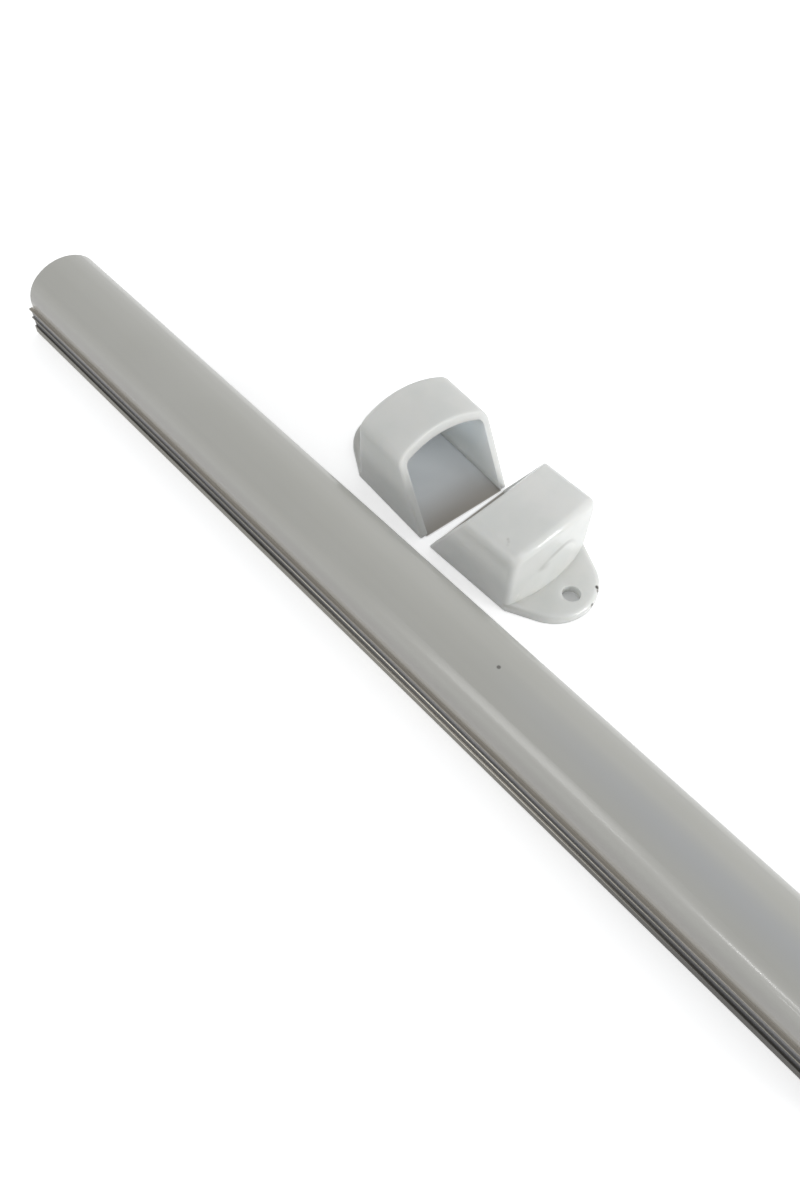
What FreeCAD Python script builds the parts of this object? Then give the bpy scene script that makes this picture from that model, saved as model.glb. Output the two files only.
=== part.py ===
"""Led strip aluminium profile: a ribbed channel, its domed opal diffuser and two moulded end caps.

X runs along the profile, Y across it and Z up from the face that is fastened down.
The origin is the middle of that face. All lengths are in mm and all angles in degrees.
The two caps lie beside the profile, taken off, with their mouths towards each other.
"""

import FreeCAD
import Part
import math
import os
import Sketcher

# The driving sizes
SIZES = {
    # channel
    "profile_length": 200.0,
    "foot_width": 17.0,
    "lip_width": 17.1,
    "channel_height": 6.3,
    "base_thickness": 1.2,
    "foot_height": 1.95,
    "lower_groove": 1.95,
    "rib_thickness": 0.3,
    "lip_thickness": 0.35,
    "groove_depth": 0.35,
    "foot_wall": 1.2,
    "edge_round": 0.1,
    "foot_round": 0.4,
    # tracks that hold the diffuser
    "track_floor": 3.4,
    "shelf_thickness": 0.8,
    "fin_thickness": 0.5,
    "fin_height": 1.9,
    "nose_thickness": 0.45,
    "track_clearance": 0.12,
    "seat_clearance": 0.1,
    # diffuser
    "diffuser_width": 15.4,
    "diffuser_thickness": 0.9,
    "profile_height": 13.8,
    "crown_radius": 8.9,
    "shoulder_radius": 6.2,
    "hook_depth": 0.3,
    "hook_height": 1.05,
    "hook_chamfer": 0.2,
    # end caps
    "cap_length": 20.0,
    "cap_wall": 1.45,
    "cap_side_clearance": 0.1,
    "cap_top_clearance": 0.75,
    "cap_end_wall": 2.2,
    "cap_end_radius": 45.0,
    "cap_crown_radius": 25.0,
    "cap_shoulder_radius": 2.8,
    "cap_corner_round": 1.5,
    "mouth_recess": 8.65,
    "tip_trim": 0.2,
    "rim_round": 0.5,
    "ear_reach": 8.3,
    "ear_shoulder": 0.8,
    "ear_tip_radius": 8.4,
    "ear_thickness": 1.8,
    "ear_round": 0.9,
    "screw_hole": 3.3,
    "screw_hole_reach": 4.5,
    "hump_reach": 0.65,
    "hump_radius": 30.0,
    "hump_width": 17.4,
    "hump_height": 10.3,
    # where the caps lie
    "caps_gap": 6.05,
    "caps_middle": -8.6,
    "mouth_gap": 1.0,
    "left_cap_turn": -4.3,
    "right_cap_turn": 0.8,
}

# How far a cutting outline starts outside what it cuts
OUTSIDE = 1.0
HALF_TURN = 180.0
# How near two heights or volumes have to be to count as equal, and a point to lie on a face
SAME = 1e-4
ON_FACE = 1e-3


class Size:
    """A length that knows its number and the expression that works it out from the sheet."""

    def __init__(self, number, text):
        self.number = number
        self.text = text

    def joined(self, other, sign):
        other = as_size(other)
        numbers = {"+": self.number + other.number, "-": self.number - other.number}
        return Size(numbers[sign], "(%s %s %s)" % (self.text, sign, other.text))

    def __add__(self, other):
        return self.joined(other, "+")

    def __sub__(self, other):
        return self.joined(other, "-")

    def __truediv__(self, number):
        return Size(self.number / number, "%s / %g" % (self.text, number))

    def __neg__(self):
        return Size(-self.number, "-(%s)" % self.text)


def leg_of(longest, other):
    """The third side of a triangle with a square corner, from its longest side and another."""
    number = math.sqrt(longest.number ** 2 - other.number ** 2)
    return Size(number, "sqrt((%s)^2 - (%s)^2)" % (longest.text, other.text))


def as_size(value):
    if isinstance(value, Size):
        return value
    return Size(float(value), "%g" % value)


doc = FreeCAD.newDocument("led_profile")
sheet = doc.addObject("Spreadsheet::Sheet", "sizes")
size = {}
for row, (name, number) in enumerate(SIZES.items(), start=1):
    sheet.set("A%d" % row, name)
    sheet.set("B%d" % row, str(number))
    sheet.setAlias("B%d" % row, name)
    size[name] = Size(number, "sizes." + name)
doc.recompute()


# Helpers for bodies, sketches and features

def new_body(label):
    body = doc.addObject("PartDesign::Body", label)
    body.Label = label
    return body


def origin_plane(body, role):
    return next(part for part in body.Origin.OriginFeatures if part.Role == role)


def new_sketch(body, name, role):
    sketch = body.newObject("Sketcher::SketchObject", name)
    sketch.AttachmentSupport = [(origin_plane(body, role), "")]
    sketch.MapMode = "FlatFace"
    return sketch


def bind(sketch, kind, *places, value):
    """Adds a constraint whose value follows the sheet."""
    number = value.number
    index = sketch.addConstraint(Sketcher.Constraint(kind, *places, number))
    sketch.setExpression("Constraints[%d]" % index, value.text)


def place_point(sketch, edge, end, across, up):
    """Ties an end of an edge to the sketch's origin."""
    bind(sketch, "DistanceX", -1, 1, edge, end, value=across)
    bind(sketch, "DistanceY", -1, 1, edge, end, value=up)


def polygon(sketch, corners):
    """A closed outline of straight lines through the corners."""
    vectors = [FreeCAD.Vector(across.number, up.number, 0) for across, up in corners]
    first = sketch.GeometryCount
    count = len(corners)
    for here, there in zip(vectors, vectors[1:] + vectors[:1]):
        sketch.addGeometry(Part.LineSegment(here, there), False)
    for step, (across, up) in enumerate(corners):
        previous = first + (step - 1) % count
        sketch.addConstraint(Sketcher.Constraint("Coincident", previous, 2, first + step, 1))
        place_point(sketch, first + step, 1, across, up)


def arch(sketch, half, bottom, top, crown, shoulder):
    """A closed arch: a flat bottom, upright flanks, round shoulders and a flatter crown."""
    crown_middle = top - crown
    spring = crown_middle.number + math.sqrt(
        (crown.number - shoulder.number) ** 2 - (half.number - shoulder.number) ** 2)
    lean = math.atan2(spring - crown_middle.number, half.number - shoulder.number)
    up = FreeCAD.Vector(0, 0, 1)
    side, low = half.number, bottom.number

    def arc(across, height, radius, start, end):
        circle = Part.Circle(FreeCAD.Vector(across, height, 0), up, radius)
        return Part.ArcOfCircle(circle, start, end)

    inset = side - shoulder.number
    edges = [
        Part.LineSegment(FreeCAD.Vector(-side, low, 0), FreeCAD.Vector(side, low, 0)),
        Part.LineSegment(FreeCAD.Vector(side, low, 0), FreeCAD.Vector(side, spring, 0)),
        arc(inset, spring, shoulder.number, 0, lean),
        arc(0, crown_middle.number, crown.number, lean, math.pi - lean),
        arc(-inset, spring, shoulder.number, math.pi - lean, math.pi),
        Part.LineSegment(FreeCAD.Vector(-side, spring, 0), FreeCAD.Vector(-side, low, 0)),
    ]
    sketch.addGeometry(edges, False)
    sketch.addConstraint([
        Sketcher.Constraint("Coincident", 0, 2, 1, 1),
        Sketcher.Constraint("Coincident", 5, 2, 0, 1),
        Sketcher.Constraint("Vertical", 1),
        Sketcher.Constraint("Vertical", 5),
        Sketcher.Constraint("Tangent", 1, 2, 2, 1),
        Sketcher.Constraint("Tangent", 2, 2, 3, 1),
        Sketcher.Constraint("Tangent", 3, 2, 4, 1),
        Sketcher.Constraint("Tangent", 4, 2, 5, 1),
        Sketcher.Constraint("PointOnObject", 3, 3, -2),
        Sketcher.Constraint("Equal", 2, 4),
    ])
    place_point(sketch, 0, 2, half, bottom)
    place_point(sketch, 0, 1, -half, bottom)
    bind(sketch, "Radius", 2, value=shoulder)
    bind(sketch, "Radius", 3, value=crown)
    bind(sketch, "DistanceY", -1, 1, 3, 3, value=crown_middle)


def pad(body, name, sketch, length, midplane=False):
    feature = body.newObject("PartDesign::Pad", name)
    feature.Profile = sketch
    feature.SideType = "Symmetric" if midplane else "One side"
    feature.Length = length.number
    feature.setExpression("Length", length.text)
    sketch.Visibility = False
    doc.recompute()
    return feature


def pocket(body, name, sketch, length, reverse=False, midplane=False):
    """Cuts the sketch's outline out of the body, and makes sure that something was cut."""
    before = body.Tip.Shape.Volume
    feature = body.newObject("PartDesign::Pocket", name)
    feature.Profile = sketch
    feature.SideType = "Symmetric" if midplane else "One side"
    feature.Reversed = reverse
    feature.Length = length.number
    feature.setExpression("Length", length.text)
    sketch.Visibility = False
    doc.recompute()
    if not feature.Shape.Volume < before - SAME:
        raise RuntimeError(name + " cuts nothing")
    return feature


def edges_that(feature, wanted):
    """Names of the feature's edges that the test picks by their ends and middle."""
    names = []
    for number, edge in enumerate(feature.Shape.Edges, start=1):
        middle = edge.valueAt((edge.FirstParameter + edge.LastParameter) / 2)
        ends = [vertex.Point for vertex in edge.Vertexes]
        if wanted(ends, middle):
            names.append("Edge%d" % number)
    return names


def fillet(body, name, base, names, radius):
    feature = body.newObject("PartDesign::Fillet", name)
    feature.Base = (base, names)
    feature.Radius = radius.number
    feature.setExpression("Radius", radius.text)
    doc.recompute()
    return feature


def near(one, other):
    return abs(one - other) < SAME


# Channel

def mirrored(half_outline):
    """The outline with its mirror image on the other side of the middle."""
    return half_outline + [(-across, up) for across, up in reversed(half_outline)]


foot_half = size["foot_width"] / 2
lip_half = size["lip_width"] / 2
groove_half = lip_half - size["groove_depth"]
diffuser_half = size["diffuser_width"] / 2
leg_inside = diffuser_half - size["diffuser_thickness"]
hook_inside = leg_inside - size["hook_depth"]
track_half = diffuser_half + size["track_clearance"]
nose_half = leg_inside - size["track_clearance"]
fin_outside = hook_inside - size["track_clearance"]
fin_inside = fin_outside - size["fin_thickness"]
bed_half = foot_half - size["foot_wall"]
rib_bottom = size["foot_height"] + size["lower_groove"]
rib_top = rib_bottom + size["rib_thickness"]
lip_bottom = size["channel_height"] - size["lip_thickness"]
fin_top = size["track_floor"] + size["fin_height"]
shelf_bottom = size["track_floor"] - size["shelf_thickness"]


def make_channel():
    body = new_body("aluminium_channel")
    sketch = new_sketch(body, "channel_section", "YZ_Plane")
    polygon(sketch, mirrored([
        (foot_half, as_size(0)),
        (foot_half, size["foot_height"]),
        (groove_half, size["foot_height"]),
        (groove_half, rib_bottom),
        (lip_half, rib_bottom),
        (lip_half, rib_top),
        (groove_half, rib_top),
        (groove_half, lip_bottom),
        (lip_half, lip_bottom),
        (lip_half, size["channel_height"]),
        (track_half, size["channel_height"]),
        (track_half, size["track_floor"]),
        (fin_outside, size["track_floor"]),
        (fin_outside, fin_top - size["nose_thickness"]),
        (nose_half, fin_top - size["nose_thickness"]),
        (nose_half, fin_top),
        (fin_inside, fin_top),
        (fin_inside, shelf_bottom),
        (bed_half, shelf_bottom),
        (bed_half, size["base_thickness"]),
    ]))
    extrusion = pad(body, "channel_extrusion", sketch, size["profile_length"], midplane=True)

    def outer_rib_edge(ends, middle):
        return near(middle.x, 0) and near(abs(middle.y), lip_half.number)

    rib_edges = edges_that(extrusion, outer_rib_edge)
    rounded = fillet(body, "rib_rounds", extrusion, rib_edges, size["edge_round"])

    def foot_edge(ends, middle):
        return near(middle.x, 0) and near(middle.z, 0)

    fillet(body, "foot_rounds", rounded, edges_that(rounded, foot_edge), size["foot_round"])
    return body


# Diffuser

def make_diffuser():
    body = new_body("opal_diffuser")
    foot = size["track_floor"] + size["seat_clearance"]
    length = size["profile_length"]
    wall = size["diffuser_thickness"]
    outside = new_sketch(body, "diffuser_outside", "YZ_Plane")
    arch(outside, diffuser_half, foot, size["profile_height"], size["crown_radius"], size["shoulder_radius"])
    pad(body, "diffuser_dome", outside, length, midplane=True)
    inside = new_sketch(body, "diffuser_inside", "YZ_Plane")
    arch(inside, leg_inside, foot, size["profile_height"] - wall, size["crown_radius"] - wall,
         size["shoulder_radius"] - wall)
    pocket(body, "diffuser_hollow", inside, length, midplane=True)
    hooks = new_sketch(body, "hook_section", "YZ_Plane")
    hook_top = foot + size["hook_height"]
    for side in (1, -1):
        outline = [(leg_inside + wall / 2, foot), (leg_inside + wall / 2, hook_top),
                   (leg_inside, hook_top), (hook_inside, hook_top - size["hook_chamfer"]),
                   (hook_inside, foot)]
        polygon(hooks, [(across if side > 0 else -across, up) for across, up in outline])
    pad(body, "diffuser_hooks", hooks, length, midplane=True)
    return body


# End caps

cap_inside_half = lip_half + size["cap_side_clearance"]
cap_half = cap_inside_half + size["cap_wall"]
cap_inside_top = size["profile_height"] + size["cap_top_clearance"]
cap_top = cap_inside_top + size["cap_wall"]
end_middle = size["cap_length"] - size["cap_end_radius"]
corner_middle = end_middle + leg_of(size["cap_end_radius"] - size["cap_corner_round"],
                                    cap_half - size["cap_corner_round"])
ear_start = corner_middle + size["ear_shoulder"]
ear_middle = size["cap_length"] + size["ear_reach"] - size["ear_tip_radius"]
hump_middle = size["cap_length"] + size["hump_reach"] - size["hump_radius"]
hump_half = size["hump_width"] / 2
hump_back = size["cap_length"] - size["cap_end_wall"] / 2 - size["hump_reach"]
caps_across = lip_half + size["caps_gap"] + cap_half


def end_outline(sketch):
    """What lies beyond the closed end, which bulges a little between its two corners."""
    aside = cap_half + OUTSIDE
    beyond = size["cap_length"] + OUTSIDE + OUTSIDE
    radius, middle = size["cap_end_radius"].number, end_middle.number
    swing = math.asin(aside.number / radius)
    corner = middle + radius * math.cos(swing)
    side, far = aside.number, beyond.number
    circle = Part.Circle(FreeCAD.Vector(middle, 0, 0), FreeCAD.Vector(0, 0, 1), radius)
    point = FreeCAD.Vector
    sketch.addGeometry([
        Part.ArcOfCircle(circle, -swing, swing),
        Part.LineSegment(point(corner, side, 0), point(far, side, 0)),
        Part.LineSegment(point(far, side, 0), point(far, -side, 0)),
        Part.LineSegment(point(far, -side, 0), point(corner, -side, 0)),
    ], False)
    sketch.addConstraint([
        Sketcher.Constraint("Coincident", 0, 2, 1, 1),
        Sketcher.Constraint("Coincident", 1, 2, 2, 1),
        Sketcher.Constraint("Coincident", 2, 2, 3, 1),
        Sketcher.Constraint("Coincident", 3, 2, 0, 1),
        Sketcher.Constraint("Horizontal", 1),
        Sketcher.Constraint("Horizontal", 3),
        Sketcher.Constraint("PointOnObject", 0, 3, -1),
    ])
    place_point(sketch, 1, 2, beyond, aside)
    place_point(sketch, 3, 1, beyond, -aside)
    bind(sketch, "Radius", 0, value=size["cap_end_radius"])
    bind(sketch, "DistanceX", -1, 1, 0, 3, value=end_middle)


def from_end_wall(point):
    """How far a point lies outside the round face of the closed end, seen from above."""
    return math.hypot(point.x - end_middle.number, point.y) - size["cap_end_radius"].number


def ear_outline(sketch):
    """A tongue that leaves the end as wide as the cap and tapers, tangent, to a round tip."""
    root, start = corner_middle.number, ear_start.number
    middle, radius, half = ear_middle.number, size["ear_tip_radius"].number, cap_half.number
    distance = math.hypot(middle - start, half)
    lean = math.atan2(half, start - middle) - math.acos(radius / distance)
    touch_x = middle + radius * math.cos(lean)
    touch_y = radius * math.sin(lean)
    circle = Part.Circle(FreeCAD.Vector(middle, 0, 0), FreeCAD.Vector(0, 0, 1), radius)
    point = FreeCAD.Vector
    sketch.addGeometry([
        Part.LineSegment(point(root, half, 0), point(root, -half, 0)),
        Part.LineSegment(point(root, -half, 0), point(start, -half, 0)),
        Part.LineSegment(point(start, -half, 0), point(touch_x, -touch_y, 0)),
        Part.ArcOfCircle(circle, -lean, lean),
        Part.LineSegment(point(touch_x, touch_y, 0), point(start, half, 0)),
        Part.LineSegment(point(start, half, 0), point(root, half, 0)),
    ], False)
    sketch.addConstraint([
        Sketcher.Constraint("Coincident", 0, 2, 1, 1),
        Sketcher.Constraint("Coincident", 1, 2, 2, 1),
        Sketcher.Constraint("Tangent", 2, 2, 3, 1),
        Sketcher.Constraint("Tangent", 3, 2, 4, 1),
        Sketcher.Constraint("Coincident", 4, 2, 5, 1),
        Sketcher.Constraint("Coincident", 5, 2, 0, 1),
    ])
    place_point(sketch, 0, 1, corner_middle, cap_half)
    place_point(sketch, 0, 2, corner_middle, -cap_half)
    place_point(sketch, 2, 1, ear_start, -cap_half)
    place_point(sketch, 5, 1, ear_start, cap_half)
    bind(sketch, "Radius", 3, value=size["ear_tip_radius"])
    bind(sketch, "DistanceX", -1, 1, 3, 3, value=ear_middle)
    sketch.addConstraint(Sketcher.Constraint("PointOnObject", 3, 3, -1))


def hump_outline(sketch):
    """The foot of the shallow hump on the closed end: an arc tighter than the end's own."""
    radius, middle = size["hump_radius"].number, hump_middle.number
    back, half = hump_back.number, hump_half.number
    swing = math.asin(half / radius)
    front = middle + radius * math.cos(swing)
    circle = Part.Circle(FreeCAD.Vector(middle, 0, 0), FreeCAD.Vector(0, 0, 1), radius)
    point = FreeCAD.Vector
    sketch.addGeometry([
        Part.ArcOfCircle(circle, -swing, swing),
        Part.LineSegment(point(front, half, 0), point(back, half, 0)),
        Part.LineSegment(point(back, half, 0), point(back, -half, 0)),
        Part.LineSegment(point(back, -half, 0), point(front, -half, 0)),
    ], False)
    sketch.addConstraint([
        Sketcher.Constraint("Coincident", 0, 2, 1, 1),
        Sketcher.Constraint("Coincident", 1, 2, 2, 1),
        Sketcher.Constraint("Coincident", 2, 2, 3, 1),
        Sketcher.Constraint("Coincident", 3, 2, 0, 1),
        Sketcher.Constraint("Horizontal", 1),
        Sketcher.Constraint("Horizontal", 3),
        Sketcher.Constraint("PointOnObject", 0, 3, -1),
    ])
    place_point(sketch, 2, 1, hump_back, hump_half)
    place_point(sketch, 2, 2, hump_back, -hump_half)
    bind(sketch, "Radius", 0, value=size["hump_radius"])
    bind(sketch, "DistanceX", -1, 1, 0, 3, value=hump_middle)


def make_cap(label, mouth_x, turn):
    """One moulded cap: its own X runs from the mouth's foot to the closed end."""
    body = new_body(label)
    length = size["cap_length"]
    wall = size["cap_wall"]
    outside = new_sketch(body, label + "_outside", "YZ_Plane")
    arch(outside, cap_half, as_size(0), cap_top, size["cap_crown_radius"], size["cap_shoulder_radius"])
    pad(body, label + "_hood", outside, length + OUTSIDE)
    end = new_sketch(body, label + "_end_outline", "XY_Plane")
    end_outline(end)
    hood = pocket(body, label + "_round_end", end, cap_top + OUTSIDE, reverse=True)

    def closed_end_edge(ends, middle):
        on_wall = all(abs(from_end_wall(point)) < ON_FACE for point in ends + [middle])
        return on_wall and middle.z > SAME

    fillet(body, label + "_corners", hood, edges_that(hood, closed_end_edge), size["cap_corner_round"])

    slope = new_sketch(body, label + "_mouth_slope", "XZ_Plane")
    above = cap_top + cap_top
    polygon(slope, [
        (as_size(-OUTSIDE), as_size(0)),
        (as_size(0), as_size(0)),
        (size["mouth_recess"] + size["mouth_recess"], above),
        (as_size(-OUTSIDE), above),
    ])
    mouth = pocket(body, label + "_mouth", slope, cap_half + cap_half + OUTSIDE, midplane=True)

    def mouth_rim(ends, middle):
        lean = size["mouth_recess"].number / cap_top.number
        return all(abs(point.x - lean * point.z) < ON_FACE for point in ends + [middle]) and middle.z > SAME

    fillet(body, label + "_rim_rounds", mouth, edges_that(mouth, mouth_rim), size["rim_round"])

    tongue = new_sketch(body, label + "_ear_outline", "XY_Plane")
    ear_outline(tongue)
    ear = pad(body, label + "_ear", tongue, size["ear_thickness"])

    def ear_rim(ends, middle):
        on_top = near(middle.z, size["ear_thickness"].number)
        past_shoulder = middle.x > ear_start.number + ON_FACE
        return on_top and past_shoulder and from_end_wall(middle) > ON_FACE

    fillet(body, label + "_ear_rounds", ear, edges_that(ear, ear_rim), size["ear_round"])

    # The hump leans back as it rises, so that it fades into the closed end at its top
    foot = new_sketch(body, label + "_hump_outline", "XY_Plane")
    hump_outline(foot)
    hump = pad(body, label + "_hump", foot, size["hump_height"])
    reach, height = size["hump_reach"], size["hump_height"]
    hump.TaperAngle = -math.degrees(math.atan2(reach.number, height.number))
    hump.setExpression("TaperAngle", "-atan(%s / %s)" % (reach.text, height.text))
    doc.recompute()

    inside = new_sketch(body, label + "_inside", "YZ_Plane")
    arch(inside, cap_inside_half, as_size(-OUTSIDE), cap_inside_top, size["cap_crown_radius"] - wall,
         size["cap_shoulder_radius"] - wall)
    pocket(body, label + "_hollow", inside, length - size["cap_end_wall"], reverse=True)

    blunt = new_sketch(body, label + "_tip_outline", "XZ_Plane")
    trim = size["tip_trim"]
    start = as_size(-OUTSIDE)
    polygon(blunt, [(start, as_size(0)), (trim, as_size(0)), (trim, cap_top), (start, cap_top)])
    pocket(body, label + "_blunt_tips", blunt, cap_half + cap_half + OUTSIDE, midplane=True)

    screw = new_sketch(body, label + "_screw_place", "XY_Plane")
    reach = length + size["screw_hole_reach"]
    middle = FreeCAD.Vector(reach.number, 0, 0)
    radius = size["screw_hole"] / 2
    screw.addGeometry(Part.Circle(middle, FreeCAD.Vector(0, 0, 1), radius.number), False)
    screw.addConstraint(Sketcher.Constraint("PointOnObject", 0, 3, -1))
    bind(screw, "DistanceX", -1, 1, 0, 3, value=reach)
    bind(screw, "Radius", 0, value=radius)
    pocket(body, label + "_screw_hole", screw, size["ear_thickness"], reverse=True)

    body.setExpression("Placement.Base.x", mouth_x.text)
    body.setExpression("Placement.Base.y", caps_across.text)
    body.setExpression("Placement.Rotation.Angle", turn.text)
    return body


make_channel()
make_diffuser()
left_mouth = size["caps_middle"] - size["mouth_gap"] / 2
right_mouth = size["caps_middle"] + size["mouth_gap"] / 2
make_cap("end_cap_left", left_mouth, size["left_cap_turn"] + HALF_TURN)
make_cap("end_cap_right", right_mouth, size["right_cap_turn"])
doc.recompute()

# Every object has to be sound before anything is written

for item in doc.Objects:
    if "Invalid" in item.State or "Error" in item.State:
        raise RuntimeError(item.Label + " did not build")

pieces = doc.findObjects("PartDesign::Body")
for piece in pieces:
    if piece.Shape.isNull() or not piece.Shape.isValid() or len(piece.Shape.Solids) != 1:
        raise RuntimeError(piece.Label + " is not one sound solid")

os.makedirs("parts", exist_ok=True)
for piece in pieces:
    piece.Shape.exportStep("parts/%s.step" % piece.Label)
    print(piece.Label, "volume", round(piece.Shape.Volume, 1), "mm3")
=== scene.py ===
# %% [markdown]
# # Led strip aluminium profile
#
# The object is a short length of aluminium extrusion that carries an LED strip. A domed opal cover
# slides in its tracks, and two white moulded caps lie beside it, taken off. The construction comes
# as a finished frame of solids, in metres, with Z up. This lesson gives those solids their finish,
# and sets up the floor, the light and the camera.

import math

import bmesh
import bpy
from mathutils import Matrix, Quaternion, Vector


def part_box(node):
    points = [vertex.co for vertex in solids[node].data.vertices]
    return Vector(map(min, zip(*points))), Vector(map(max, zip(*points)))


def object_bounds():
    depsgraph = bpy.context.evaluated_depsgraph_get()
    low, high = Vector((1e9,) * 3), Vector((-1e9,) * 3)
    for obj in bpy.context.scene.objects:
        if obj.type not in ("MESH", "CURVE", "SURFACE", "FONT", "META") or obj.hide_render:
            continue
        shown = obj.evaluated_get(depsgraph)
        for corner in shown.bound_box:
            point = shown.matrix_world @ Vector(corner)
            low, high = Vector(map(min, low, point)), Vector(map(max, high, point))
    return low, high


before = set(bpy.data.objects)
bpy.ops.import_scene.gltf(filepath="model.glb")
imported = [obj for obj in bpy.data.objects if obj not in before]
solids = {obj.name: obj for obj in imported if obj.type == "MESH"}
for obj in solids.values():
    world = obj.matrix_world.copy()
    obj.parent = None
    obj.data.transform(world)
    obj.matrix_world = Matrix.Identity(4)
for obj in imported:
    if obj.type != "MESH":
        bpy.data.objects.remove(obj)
MM = 0.001
cad_box = [[float(value) for value in corner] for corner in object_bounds()]
print("pieces:", ", ".join(sorted(solids)))
print("box in mm:", [[round(value / MM, 1) for value in corner] for corner in cad_box])

# %% [markdown]
# ## Arithmetic on shader sockets
#
# Surface patterns are sums and products of numbers that change from place to place. Written with
# nodes alone they turn into a web that is hard to read, so one small class wraps a socket and lets
# Python's own operators add the Math nodes. The reflected forms let a plain number stand first, as
# in 1 - mask. Two more methods make soft masks: a step between two values, and a hill around one.

# %% A wrapped socket
class Wire:
    """A shader socket that can stand in a Python expression."""

    def __init__(self, tree, socket):
        self.tree = tree
        self.socket = socket

    def maths(self, operation, first, second=0.0):
        sockets = {0: first, 1: second}
        return self.tree.add("ShaderNodeMath", {"operation": operation}, sockets, "Value")

    def __add__(self, other):
        return self.maths("ADD", self, other)

    def __radd__(self, other):
        return self.maths("ADD", other, self)

    def __sub__(self, other):
        return self.maths("SUBTRACT", self, other)

    def __rsub__(self, other):
        return self.maths("SUBTRACT", other, self)

    def __mul__(self, other):
        return self.maths("MULTIPLY", self, other)

    def __rmul__(self, other):
        return self.maths("MULTIPLY", other, self)

    def __abs__(self):
        return self.maths("ABSOLUTE", self)

    def larger(self, other):
        return self.maths("MAXIMUM", self, other)

    def step(self, low, high):
        """Goes smoothly from 0 at low to 1 at high."""
        settings = {"interpolation_type": "SMOOTHSTEP"}
        sockets = {"Value": self, "From Min": low, "From Max": high}
        return self.tree.add("ShaderNodeMapRange", settings, sockets, "Result")

    def hill(self, middle, width):
        """1 at a middle value, falling smoothly to 0 at width on both sides."""
        return 1 - abs(self - middle).step(0.0, width)

# %% [markdown]
# ## One method for every node
#
# A node has options, such as a Math node's operation, and sockets that take a value or a link. Some
# sockets only appear once an option is chosen, so the one method that makes nodes sets the options
# first. Materials and the world both own a tree of nodes, and the same class serves both.

# %% A tree that makes its own nodes
class Tree:
    """The node tree of a material or a world, with one method that adds nodes to it."""

    def __init__(self, owner):
        owner.use_nodes = True
        self.owner = owner
        self.nodes = owner.node_tree.nodes
        self.links = owner.node_tree.links
        self.nodes.clear()

    def add(self, kind, settings=None, sockets=None, output=0):
        """Makes a node, sets its options, fills or links its sockets and gives one output."""
        node = self.nodes.new(kind)
        for option, value in (settings or {}).items():
            setattr(node, option, value)
        for name, value in (sockets or {}).items():
            if isinstance(value, Wire):
                self.links.new(value.socket, node.inputs[name])
            else:
                node.inputs[name].default_value = value
        return Wire(self, node.outputs[output]) if len(node.outputs) else None

    def vector(self, operation, first, second, output="Vector"):
        """Vector Math on two places or directions."""
        sockets = {0: first, 1: second}
        return self.add("ShaderNodeVectorMath", {"operation": operation}, sockets, output)

# %% [markdown]
# ## Patterns laid out in millimetres
#
# The real object is measured in millimetres, and so are its finishes. The solids of the frame share
# one origin, in the middle of the bar, so a place on a surface has an easy name: along the bar,
# across it, and up. Clouds of noise, small round marks and the inside of a tube are the patterns
# that the finishes below are made of. A finish is built up as a painter does it: one ground colour,
# and thinner coats over parts of it.

# %% A finish laid out along, across and up
class Finish(Tree):
    """A material whose patterns are laid out in mm: along the bar, across it, and up."""

    def __init__(self, name):
        super().__init__(bpy.data.materials.new(name))
        metres = self.add("ShaderNodeTexCoord", output="Object")
        scale = {0: metres, "Scale": 1 / MM}
        self.spot = self.add("ShaderNodeVectorMath", {"operation": "SCALE"}, scale, "Vector")
        self.along, self.across, self.up = (self.part(self.spot, axis) for axis in "XYZ")

    def part(self, place, axis):
        return self.add("ShaderNodeSeparateXYZ", None, {"Vector": place}, axis)

    def noise(self, scale, detail, stretch=(1, 1, 1), shift=0.0):
        """Cloudy noise between 0 and 1, with a scale in waves per mm. A small stretch draws it out
        along an axis, and the shift keeps two noises from looking alike."""
        placing = {"Vector": self.spot, "Scale": stretch, "Location": (shift, shift, shift)}
        placed = self.add("ShaderNodeMapping", None, placing, "Vector")
        sockets = {"Vector": placed, "Scale": scale, "Detail": detail}
        return self.add("ShaderNodeTexNoise", None, sockets, "Fac")

    def ball(self, centre, radius, soft):
        """1 inside a small ball about a point, and 0 outside it."""
        away = self.vector("DISTANCE", self.spot, centre, "Value")
        return 1 - away.step(radius - soft, radius + soft)

    def marks(self, places, soft_share):
        """Small round marks added up, each with a centre, a radius and a strength."""
        total = 0.0
        for centre, radius, strength in places:
            total = self.ball(centre, radius, radius * soft_share) * strength + total
        return total

    def tube_inside(self, height):
        """1 on the faces that look towards a line along the bar at a height."""
        facing = self.add("ShaderNodeNewGeometry", output="Normal")
        from_line = self.vector("SUBTRACT", self.spot, (0.0, 0.0, height))
        return 1 - self.vector("DOT_PRODUCT", facing, from_line, "Value").step(-3.0, -1.5)

    def mix(self, share, first, second):
        """A colour between two others."""
        sockets = {0: share, 6: first, 7: second}
        return self.add("ShaderNodeMix", {"data_type": "RGBA"}, sockets, 2)

    def coats(self, ground, *layers):
        """A ground colour with coats laid over it in turn, each as a share and a colour."""
        for share, colour in layers:
            ground = self.mix(share, ground, colour)
        return ground

    def bump(self, height, strength, distance):
        sockets = {"Height": height, "Strength": strength, "Distance": distance}
        return self.add("ShaderNodeBump", None, sockets, "Normal")

    def close(self, surface):
        self.add("ShaderNodeOutputMaterial", None, {"Surface": surface})
        return self.owner

    def solid(self, **sockets):
        """Ends the material with one surface shader. Underscores in the names stand for spaces."""
        inputs = {name.replace("_", " "): value for name, value in sockets.items()}
        return self.close(self.add("ShaderNodeBsdfPrincipled", None, inputs, "BSDF"))

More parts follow.
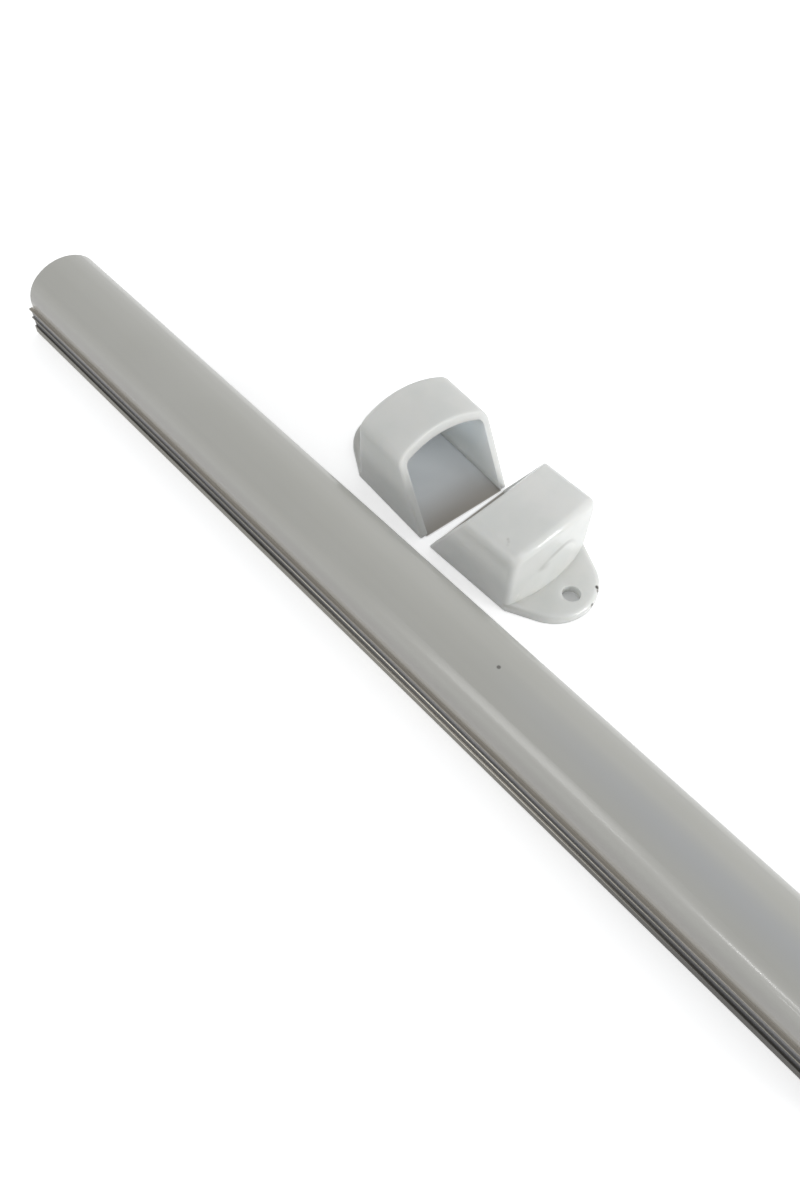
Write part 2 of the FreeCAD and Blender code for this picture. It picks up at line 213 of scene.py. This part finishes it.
# %% [markdown]
# ## Colours, and giving a solid its finish
#
# Colours are easiest to judge by the levels that they have on a screen, while Blender counts in
# light, so a short function turns one into the other. A solid of the frame already has material
# slots. Its finish goes into those, and its shape stays as it is.

# %% Screen colours and dressing
def screen(red, green, blue):
    """A colour from the levels of 0 to 255 that it has on a screen."""
    def light(level):
        share = level / 255
        return share / 12.92 if share <= 0.04045 else ((share + 0.055) / 1.055) ** 2.4
    return (light(red), light(green), light(blue), 1.0)


def dress(name, material):
    """Gives a solid its finish without touching its shape."""
    for slot in solids[name].material_slots:
        slot.material = material
    print(name, "is finished with", material.name)


BLACK, WHITE = screen(0, 0, 0), screen(255, 255, 255)
print("level 128 on a screen is", round(screen(128, 128, 128)[0], 3), "of white in light")

# %% [markdown]
# ## The opal diffuser
#
# The cover is extruded from an opal plastic, and looks like a soft grey-white skin with a gentle
# gloss. Extrusion leaves faint bands along its length, so the noise here is stretched far along the
# bar. It changes the colour, and hardly the relief, because the long reflections on the real cover
# are clean. Wide soft bands of painted light and shade lie over it: a painted sheen low on the
# near side, a cooler, darker painted reflection along the crown towards the near end, and painted
# shade down the near flank above the lip. One small dark fleck sits on the crown, as in the
# photograph.
#
# Opal plastic passes light on inside itself. Here a weak glow stands for that, because true
# see-through plastic would take long to render. It lights the narrow gap between the cover and the
# channel's lip, the foot of the cover, and the inside of the tube, which looks grey from its open
# ends and not black.

# %% Where things lie on the cover, in mm
CROWN = 13.8
LIP_TOP = 6.3
TUBE_MIDDLE = 6.5
# Where the bands of painted sheen, painted reflection and painted shade lie on the cover.
PALE_BAND, PALE_REACH = -6.2, 1.3
COOL_BAND, COOL_REACH = -1.5, 4.0
COOL_START = (10.0, 60.0)
FLANK = (-7.65, -6.8)
LEG_SIDES = (7.45, 7.65)
GAP_END = (LIP_TOP - 0.2, LIP_TOP + 0.1)
FOOT_END = (LIP_TOP + 0.3, LIP_TOP + 2.0)
FLECK, FLECK_RADIUS, FLECK_SOFT = (22.3, -0.4, CROWN), 0.32, 0.12
BANDS = {"scale": 0.45, "detail": 1, "stretch": (0.012, 1, 1)}
HAZE = {"scale": 0.05, "detail": 2, "shift": 3.0}
print("the cover stands", round(CROWN - LIP_TOP, 1), "mm above the channel's lip")

# %% Opal plastic
# Above a roughness of 0.274 a render's noise filter takes the skin for matt all over. Where a skin
# crosses that value, the filter draws a thin line.
OPAL_ROUGHNESS = 0.28


def opal_glow(finish):
    """The light that comes out of the plastic in the gap, at the foot and inside the tube."""
    aside = abs(finish.across).step(*LEG_SIDES)
    in_gap = (1 - finish.up.step(*GAP_END)) * aside
    at_foot = (1 - finish.up.step(*FOOT_END)) * aside
    return finish.coats(
        BLACK,
        (at_foot, screen(84, 82, 78)),
        (finish.tube_inside(TUBE_MIDDLE), screen(138, 137, 132)),
        (in_gap, screen(128, 126, 120)),
    )


def opal_plastic():
    finish = Finish("opal_plastic")
    bands, haze = finish.noise(**BANDS), finish.noise(**HAZE)
    tone = (bands * 0.5 + haze * 0.5).step(0.15, 0.85)
    # Painted sheen on a band low on the near side.
    painted_sheen = finish.across.hill(PALE_BAND, PALE_REACH)
    # Painted reflection, cooler and darker, along the crown towards the near end.
    painted_reflection = finish.across.hill(COOL_BAND, COOL_REACH) * finish.along.step(*COOL_START)
    # Painted shade down the near flank, above the lip.
    flank_shade = 1 - finish.across.step(*FLANK)
    fleck = finish.ball(FLECK, FLECK_RADIUS, FLECK_SOFT)
    colour = finish.coats(
        finish.mix(tone, screen(176, 176, 170), screen(183, 183, 178)),
        (painted_sheen * 0.35, screen(190, 189, 184)),
        (painted_reflection * 0.8, screen(173, 175, 177)),
        (flank_shade * 0.8, screen(164, 162, 158)),
        (fleck * 0.8, screen(74, 72, 68)),
    )
    return finish.solid(
        Base_Color=colour,
        Roughness=OPAL_ROUGHNESS + haze * 0.06 + fleck * 0.3,
        Coat_Weight=0.3,
        Coat_Roughness=0.14,
        Emission_Color=opal_glow(finish),
        Emission_Strength=1.0,
        Normal=finish.bump(bands, strength=0.04, distance=0.00003),
    )


dress("opal_diffuser", opal_plastic())

# %% [markdown]
# ## The anodised aluminium channel
#
# The channel is pushed through a die, so every scratch and die line on it runs lengthwise. Satin
# anodising leaves it a warm grey. The top of the lip is painted light towards the cover and
# darker at its outer edge, the side of the lip light along its top and dark below it, and the
# foot's face carries painted shade that grows towards the near end. The two grooves of each side
# have a cooler grey, with painted light in the upper groove and painted shade in the lower one.
# The edges of the rib and the foot carry painted highlights, most of all in the middle of the bar.
# The sawn ends are bare metal with short marks across them. All of it is colour, gloss and a very
# low relief: the grooves, the rib and the lip themselves are in the solid.

# %% Where things lie on the channel, in mm
CHANNEL_END, CHANNEL_SIDE, CHANNEL_TOP = Vector(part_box("aluminium_channel")[1]) / MM
SAWN = (CHANNEL_END - 0.02, CHANNEL_END - 0.005)
GROOVE_BED = 8.2
GROOVE_FLOOR = (GROOVE_BED - 0.1, GROOVE_BED - 0.05)
GROOVE_MOUTH = (CHANNEL_SIDE - 0.2, CHANNEL_SIDE - 0.08)
OUTSIDE = (GROOVE_BED - 0.1, GROOVE_BED)
FOOT_TOP = 1.95
FOOT_LEDGE = (FOOT_TOP - 0.05, FOOT_TOP + 0.05)
# Over this span along the bar, painted shade on the foot's face grows to full.
FOOT_SHADE = (0.0, 75.0)
FOOT_RIM = (GROOVE_BED, GROOVE_BED + 0.1)
RIB = 4.0
RIB_SPLIT = (RIB - 0.1, RIB + 0.1)
RIB_RIM = (CHANNEL_SIDE - 0.12, CHANNEL_SIDE - 0.04)
RIB_THICK = (0.4, 0.5)
LIP_UNDERSIDE = (LIP_TOP - 0.4, LIP_TOP - 0.3)
LIP_SIDE = (6.02, 6.26)
LIP_FACE = (LIP_TOP - 0.1, LIP_TOP - 0.02)
LIP_ACROSS = (7.8, 8.4)
# Centres of the painted highlights on the rib and foot edges along the bar, and their reach.
RIB_GLINT, FOOT_GLINT, GLINT_REACH = 15.0, 24.0, 55.0
DIE_LINES = {"scale": 6.0, "detail": 5, "stretch": (0.004, 1, 1)}
STAIN = {"scale": 0.12, "detail": 3, "stretch": (0.3, 1, 1), "shift": 11.0}
SAW_MARKS = {"scale": 2.2, "detail": 4, "stretch": (1, 0.15, 2.5), "shift": 5.0}
print("half the channel's length and width:", round(CHANNEL_END, 1), round(CHANNEL_SIDE, 2))
print("its height:", round(CHANNEL_TOP, 1))

# %% Anodised aluminium
def channel_sides(finish, aside):
    """Coats of painted light and shade for the grooves, the lip and the foot of both sides."""
    in_groove = aside.step(*GROOVE_FLOOR) * (1 - aside.step(*GROOVE_MOUTH))
    above_foot = finish.up.step(*FOOT_LEDGE)
    below_lip = 1 - finish.up.step(*LIP_UNDERSIDE)
    below_top = 1 - finish.up.step(LIP_SIDE[1], LIP_TOP)
    outside = aside.step(*OUTSIDE)
    upper_groove = finish.up.step(*RIB_SPLIT)
    # Painted light in the upper groove and painted shade in the lower one.
    groove_shading = finish.mix(upper_groove, screen(92, 92, 93), screen(138, 138, 139))
    # Painted light on the lip's top towards the cover, and painted shade at its outer edge.
    top_shading = finish.mix(aside.step(*LIP_ACROSS), screen(166, 161, 153), screen(136, 132, 125))
    # Painted light along the top of the lip's side, and painted shade below it.
    side_shading = finish.mix(finish.up.step(*LIP_SIDE), screen(92, 90, 86), screen(140, 136, 128))
    return (
        (in_groove * above_foot * below_lip, groove_shading),
        (finish.up.step(*LIP_FACE), top_shading),
        (outside * (1 - below_lip) * below_top, side_shading),
        # Painted shade on the foot's face, growing towards the near end.
        (outside * (1 - above_foot) * finish.along.step(*FOOT_SHADE), screen(88, 86, 82)),
    )


def edge_highlights(finish, aside):
    """Painted highlights on the edges of the rib and the foot, brightest near the bar's middle."""
    rib_edge = aside.step(*RIB_RIM) * (1 - abs(finish.up - RIB).step(*RIB_THICK))
    foot_edge = finish.up.hill(FOOT_TOP - 0.02, 0.3) * aside.step(*FOOT_RIM)
    return (
        (rib_edge * finish.along.hill(RIB_GLINT, GLINT_REACH), screen(214, 208, 194)),
        (foot_edge * finish.along.hill(FOOT_GLINT, GLINT_REACH), screen(252, 246, 234)),
    )


def anodised_aluminium():
    finish = Finish("anodised_aluminium")
    aside = abs(finish.across)
    die_lines, stain = finish.noise(**DIE_LINES), finish.noise(**STAIN)
    saw_marks = finish.noise(**SAW_MARKS)
    sawn = abs(finish.along).step(*SAWN)
    colour = finish.coats(
        finish.mix(die_lines.step(0.35, 0.65), screen(122, 120, 112), screen(132, 129, 121)),
        (stain.step(0.4, 0.7) * 0.4, screen(118, 113, 104)),
        *channel_sides(finish, aside),
        *edge_highlights(finish, aside),
        (sawn, screen(196, 194, 186)),
    )
    relief = die_lines * (1 - sawn) + saw_marks * sawn
    return finish.solid(
        Base_Color=colour,
        Metallic=0.85,
        Roughness=0.36 + die_lines * 0.12 + sawn * 0.06,
        Normal=finish.bump(relief, strength=0.25, distance=0.00005),
    )


dress("aluminium_channel", anodised_aluminium())

# %% [markdown]
# ## Finding the inside of a cap
#
# Both caps are one moulding, laid down twice, and the left one is turned half round. The plastic is
# lighter inside and the floor is darker there, so both need a mask of the room inside a cap. A
# Mapping node of the texture kind moves and turns every place into the cap's own axes, which start
# at its mouth. There the room is a plain box.

# %% The room inside a cap, in mm and degrees
LEFT_HOOD = ((-9.1, 24.7, 0.0), 175.7)
RIGHT_HOOD = ((-8.1, 24.7, 0.0), 0.8)
HOOD_LENGTH, HOOD_HALF = 17.8, 8.7
HOOD_SOFT = 0.4


def in_hood(finish, hood, start):
    """1 between a cap's side walls from a start behind its mouth, then two distances: from the
    mouth, and from the cap's middle plane."""
    mouth, turn = hood
    placing = {"Vector": finish.spot, "Location": mouth, "Rotation": (0, 0, math.radians(turn))}
    place = finish.add("ShaderNodeMapping", {"vector_type": "TEXTURE"}, placing, "Vector")
    along, aside = finish.part(place, "X"), abs(finish.part(place, "Y"))
    behind = along.step(start, start + 0.5)
    between = behind * (1 - along.step(HOOD_LENGTH, HOOD_LENGTH + HOOD_SOFT))
    return between * (1 - aside.step(HOOD_HALF, HOOD_HALF + HOOD_SOFT)), along, aside


print("room inside a cap:", HOOD_LENGTH, "by", 2 * HOOD_HALF, "mm")

# %% [markdown]
# ## The white end caps
#
# The caps are moulded in white plastic, under a thin, smoother skin that gives the rounded edges
# their sharp little lights. The plastic is a little see-through, so light wanders inside it and
# evens out the shade, which is what subsurface scattering does. Handling has left a small dark mark
# on the top of one cap and nicks on the rim of its ear, and its closed end has a shallow fold over
# the swelling above the ear, with painted shade along the fold and in two patches at one end.
# The other cap is rubbed matt, and has painted shade on the side of its ear and a faint darkening
# over its top. The surface of a moulding is never quite even, so a slow, low relief makes its
# reflections swim a little. The walls are thin, and inside the hood some daylight comes through
# them with a bluish tinge, which a weak glow of the inner faces stands for.

# %% Marks of handling and patches of painted shade, each with a centre, a radius and a strength
SMEARS_AND_FOLD_SHADE = (
    # A small mark of handling on the top of the right cap.
    ((6.95, 17.1, 14.75), 0.22, 0.22),
    ((7.35, 16.85, 14.65), 0.22, 0.16),
    ((7.6, 16.4, 14.45), 0.22, 0.10),
    # Painted shade at one end of the fold on the closed end.
    ((11.9, 21.9, 8.1), 0.8, 0.15),
    ((11.8, 21.1, 7.9), 0.6, 0.14),
)
NICKS = (
    ((18.35, 29.4, 1.6), 0.36, 1.0),
    ((18.75, 28.95, 1.3), 0.34, 1.0),
    ((19.95, 26.4, 0.95), 0.42, 1.0),
)
DARKER_PATCHES = (
    # Painted shade on the side of the left cap's ear.
    ((-33.5, 23.0, 1.0), 5.0, 0.4),
    # A faint darkening over the top of the left cap.
    ((-20.0, 23.0, 16.0), 9.0, 0.08),
)
print("smears, nicks and darker patches:", len(SMEARS_AND_FOLD_SHADE), len(NICKS), len(DARKER_PATCHES))

# %% The fold on the closed end
FOLD_START, FOLD_MIDDLE, FOLD_TOP = 11.0, 26.4, 10.1
FOLD_REACH = 6.2
LEFT_FALL, RIGHT_FALL = 0.057, 0.21


def end_fold(finish):
    """A shallow fold on the closed end that rises to a top and falls off to both sides."""
    away = finish.across - FOLD_MIDDLE
    fall = away * away * (LEFT_FALL + (RIGHT_FALL - LEFT_FALL) * away.step(-0.5, 0.5))
    near_line = 1 - abs(finish.up + fall - FOLD_TOP).step(0.05, 0.95)
    on_end = finish.along.step(FOLD_START, FOLD_START + 0.3)
    return near_line * finish.across.hill(FOLD_MIDDLE - 0.6, FOLD_REACH) * on_end


print("the fold spans", 2 * FOLD_REACH, "mm and tops out at", FOLD_TOP, "mm")

# %% White plastic
MATT_SKIN, SMOOTH_SKIN = 0.1, 0.5
UNEVEN = {"scale": 0.16, "detail": 3}
GRAIN = {"scale": 1.6, "detail": 4, "shift": 9.0}
DAYLIGHT_IN = (-1.0, 12.0)
DAYLIGHT_UP = (3.0, 10.0)
DAYLIGHT_END = (10.8, 12.8)


def white_plastic(name, hood, skin, marks_and_shade, nicks=(), folded=False):
    """White moulded plastic, given its share of smooth skin, its marks and its painted shade."""
    finish = Finish(name)
    uneven, grain = finish.noise(**UNEVEN), finish.noise(**GRAIN)
    fold = end_fold(finish) if folded else 0.0
    marks_and_shade_mask = finish.marks(marks_and_shade, soft_share=0.9)
    inside, from_mouth, _ = in_hood(finish, hood, start=0.0)
    daylight = inside * (1 - finish.up.step(*DAYLIGHT_END)) * from_mouth.step(*DAYLIGHT_IN)
    daylight = daylight * finish.up.step(*DAYLIGHT_UP)
    colour = finish.coats(
        finish.mix(uneven.step(0.35, 0.65), screen(218, 220, 217), screen(223, 224, 221)),
        # Painted shade along the fold, over its low relief.
        (fold * 0.7, screen(174, 174, 170)),
        (marks_and_shade_mask, screen(112, 104, 92)),
        (finish.marks(nicks, soft_share=0.4), screen(52, 46, 38)),
    )
    return finish.solid(
        Base_Color=colour,
        Roughness=0.34 + grain * 0.08 + marks_and_shade_mask * 0.2,
        Subsurface_Weight=0.8,
        Subsurface_Radius=(1.0, 1.05, 1.15),
        Subsurface_Scale=0.003,
        Coat_Weight=skin,
        Coat_Roughness=0.07,
        Emission_Color=finish.mix(daylight, BLACK, screen(94, 100, 106)),
        Emission_Strength=1.0,
        Normal=finish.bump(uneven + grain * 0.06 - fold * 1.2, strength=0.2, distance=0.00012),
    )


dress("end_cap_left", white_plastic("white_plastic_left", LEFT_HOOD, MATT_SKIN, DARKER_PATCHES))
dress("end_cap_right", white_plastic(
    "white_plastic_right", RIGHT_HOOD, SMOOTH_SKIN, SMEARS_AND_FOLD_SHADE, NICKS, folded=True))

# %% [markdown]
# ## The floor
#
# The part lies on a plain white floor. The floor is a real surface, so it takes the part's soft
# shadow, and a little light of its own brings it up to white. Only the camera and mirror-like or
# clear surfaces see that light, so it adds nothing to the light on the part. The Light Path node
# tells which kind of ray is asking. The floor's own light stops under the two caps and in their
# screw holes, where the photograph keeps a deep shade, and comes back faintly at the far end and
# along the walls of each cap. Close to each mouth the paint carries painted shade.

# %% Masks for the floor
HOLE_REACH, HOLE_RADIUS, HOLE_SOFT = 24.5, 1.75, 0.15
SHADE_START = -0.2
DEEP_REACH = (-1.0, 9.0)
BACK_REACH = (2.0, 15.0)
WALL_ASIDE, WALL_ALONG = (4.5, 8.6), (-2.0, 12.0)


def seen_directly(tree):
    """1 for the rays of the camera, and of mirror-like and clear surfaces."""
    rays = ("Is Camera Ray", "Is Glossy Ray", "Is Transmission Ray")
    camera, glossy, clear = (tree.add("ShaderNodeLightPath", output=name) for name in rays)
    return camera.larger(glossy).larger(clear)


def in_hole(finish, hood):
    """1 on the floor in the screw hole of a cap."""
    mouth, turn = hood
    reach = Quaternion((0, 0, 1), math.radians(turn)) @ Vector((HOLE_REACH, 0.0, 0.0))
    return finish.ball(Vector(mouth) + reach, HOLE_RADIUS, HOLE_SOFT)


def under_caps(finish):
    """Three masks on the floor: under the caps, close to their mouths, and at their walls."""
    shade, deep, back = 0.0, 0.0, 0.0
    for hood in (LEFT_HOOD, RIGHT_HOOD):
        inside, along, aside = in_hood(finish, hood, SHADE_START)
        at_walls = aside.step(*WALL_ASIDE) * along.step(*WALL_ALONG)
        shade = inside + in_hole(finish, hood) + shade
        deep = inside * (1 - along.step(*DEEP_REACH)) + deep
        back = inside * along.step(*BACK_REACH).larger(at_walls) + back
    return shade, deep, back


print("floor shade reaches", HOOD_LENGTH, "mm into each cap")

# %% The floor and its paint
FLOOR_SIZE = 4.0
FLOOR_DROP = 0.0002
FLOOR_LIFT = 0.5


def floor_white():
    finish = Finish("floor_white")
    shade, deep, back = under_caps(finish)
    own_light = finish.coats(WHITE, (shade, BLACK), (back, screen(98, 106, 113)))
    # Painted shade on the floor close to each mouth.
    own_colour = finish.mix(deep, screen(246, 247, 248), screen(176, 170, 162))
    paint = finish.add("ShaderNodeBsdfDiffuse", None, {"Color": own_colour})
    glow = finish.add("ShaderNodeEmission", None, {"Color": own_light, "Strength": FLOOR_LIFT})
    lifted = finish.add("ShaderNodeAddShader", None, {0: paint, 1: glow})
    sockets = {0: seen_directly(finish), 1: paint, 2: lifted}
    return finish.close(finish.add("ShaderNodeMixShader", None, sockets))


shape = bmesh.new()
bmesh.ops.create_grid(shape, x_segments=4, y_segments=4, size=FLOOR_SIZE / 2)
floor_mesh = bpy.data.meshes.new("floor")
shape.to_mesh(floor_mesh)
shape.free()
floor_mesh.materials.append(floor_white())
floor = bpy.data.objects.new("floor", floor_mesh)
floor.location.z = cad_box[0][2] - FLOOR_DROP
bpy.context.scene.collection.objects.link(floor)
print("floor side in m:", FLOOR_SIZE)

# %% [markdown]
# ## The sky
#
# Soft studio light comes from everywhere at once, and a plain white world gives just that. It is
# kept below full white, so that the white plastic doesn't wash out. Where the camera or a
# mirror-like surface looks straight at it, it has full strength, and the background is white.

# %% A white world
SKY_LEVEL = 0.57
world = bpy.data.worlds.new("studio")
bpy.context.scene.world = world
sky = Tree(world)
lighting = sky.add("ShaderNodeBackground", None, {"Color": WHITE, "Strength": SKY_LEVEL})
backdrop = sky.add("ShaderNodeBackground", None, {"Color": WHITE, "Strength": 1.0})
chosen = sky.add("ShaderNodeMixShader", None, {0: seen_directly(sky), 1: lighting, 2: backdrop})
sky.add("ShaderNodeOutputWorld", None, {"Surface": chosen})
print("strength of the sky's light:", SKY_LEVEL)

# %% [markdown]
# ## Lamps
#
# Most of the light is the plain white sky. A soft key lamp stands low beyond the closed end of the
# right cap and makes that end the brightest face. Two fills even out the rest: a very large one
# behind the part, too large to show as a shape in the gloss, and a small one at the near side of
# the cover.
#
# The other lamps don't light anything. They are there to be mirrored, so the rays of matt surfaces
# don't see them: a wide thin one draws the white line along the cap's top edge, and small ones on
# the near side draw the streaks in the cover near its right end. A lamp that is mirrored in a long
# bent surface becomes a streak along it, whose place follows from the lamp's height.

# %% How a lamp is placed
def lamp(name, stand, size, power, aim=(0.0, 0.0, 0.0), roll=0.0, lights=True):
    """An area lamp that looks at an aim point. The stand is its azimuth and height over that point
    in degrees and its distance in m, and the size and the aim are in m too."""
    azimuth, height, distance = stand
    level = Vector((math.cos(math.radians(azimuth)), math.sin(math.radians(azimuth)), 0.0))
    direction = level * math.cos(math.radians(height))
    direction.z = math.sin(math.radians(height))
    data = bpy.data.lights.new(name, "AREA")
    data.shape = "RECTANGLE"
    data.size, data.size_y = size
    data.energy = power
    item = bpy.data.objects.new(name, data)
    item.location = Vector(aim) + direction * distance
    item.rotation_mode = "QUATERNION"
    turned = direction.to_track_quat("Z", "Y")
    item.rotation_quaternion = turned @ Quaternion((0, 0, 1), math.radians(roll))
    item.visible_diffuse = lights
    bpy.context.scene.collection.objects.link(item)
    print("lamp:", name, "with", power, "W")

# %% The lamps
CAP_EDGE = (0.011, 0.020, 0.015)
COVER_MIDDLE = (0.032, -0.0057, 0.0117)
THIN_STREAK, THIN_STREAK_START = (0.0765, -0.006, 0.011), (0.0755, -0.006, 0.011)
SHORT_STREAK, SOFT_STREAK = (0.0815, -0.0067, 0.0105), (0.0525, -0.0058, 0.0116)

lamp("key", (22, 17, 0.9), (0.34, 0.24), 3.5)
lamp("far fill", (100, 35, 1.3), (1.6, 1.2), 1.6)
lamp("near fill", (-104, 27, 0.5), (0.16, 0.13), 0.32, COVER_MIDDLE)
lamp("edge line", (4, 30, 0.9), (0.80, 0.016), 0.44, CAP_EDGE, roll=-52, lights=False)
lamp("thin streak", (-86, 17.5, 0.5), (0.085, 0.014), 0.12, THIN_STREAK, lights=False)
lamp("thin streak middle", (-87, 17.5, 0.5), (0.03, 0.014), 0.04, THIN_STREAK_START, lights=False)
lamp("short streak", (-84, 6, 0.5), (0.020, 0.012), 0.03, SHORT_STREAK, lights=False)
lamp("soft streak end", (-96, 22, 0.5), (0.035, 0.016), 0.025, SOFT_STREAK, lights=False)

# %% [markdown]
# ## Camera
#
# The camera's place was worked out from straight edges and the round screw hole in the photograph.
# It looks down on the part from just beyond its near end, close by, which is why the profile grows
# so much towards the lower right. The lens is given by a focal length in pixels of the photograph,
# which its height turns into millimetres.

# %% Camera
PHOTO_HEIGHT = 1200
FOCAL_PIXELS = 1029.5
SENSOR = 36.0
CAMERA_PLACE = Vector((66.64, -65.29, 146.69)) * MM
CAMERA_AIM = Vector((-2.82, 3.04, 0.0)) * MM
CAMERA_ROLL = 2.69
NEAREST_SEEN = 0.005

camera_data = bpy.data.cameras.new("camera")
camera_data.sensor_width = SENSOR
camera_data.lens = SENSOR * FOCAL_PIXELS / PHOTO_HEIGHT
camera_data.clip_start = NEAREST_SEEN
camera = bpy.data.objects.new("camera", camera_data)
camera.location = CAMERA_PLACE
camera.rotation_mode = "QUATERNION"
looking = (CAMERA_AIM - CAMERA_PLACE).to_track_quat("-Z", "Y")
camera.rotation_quaternion = looking @ Quaternion((0, 0, 1), math.radians(CAMERA_ROLL))
bpy.context.scene.collection.objects.link(camera)
bpy.context.scene.camera = camera
bpy.context.scene.view_settings.view_transform = "Standard"
print("lens in mm:", round(camera_data.lens, 2))
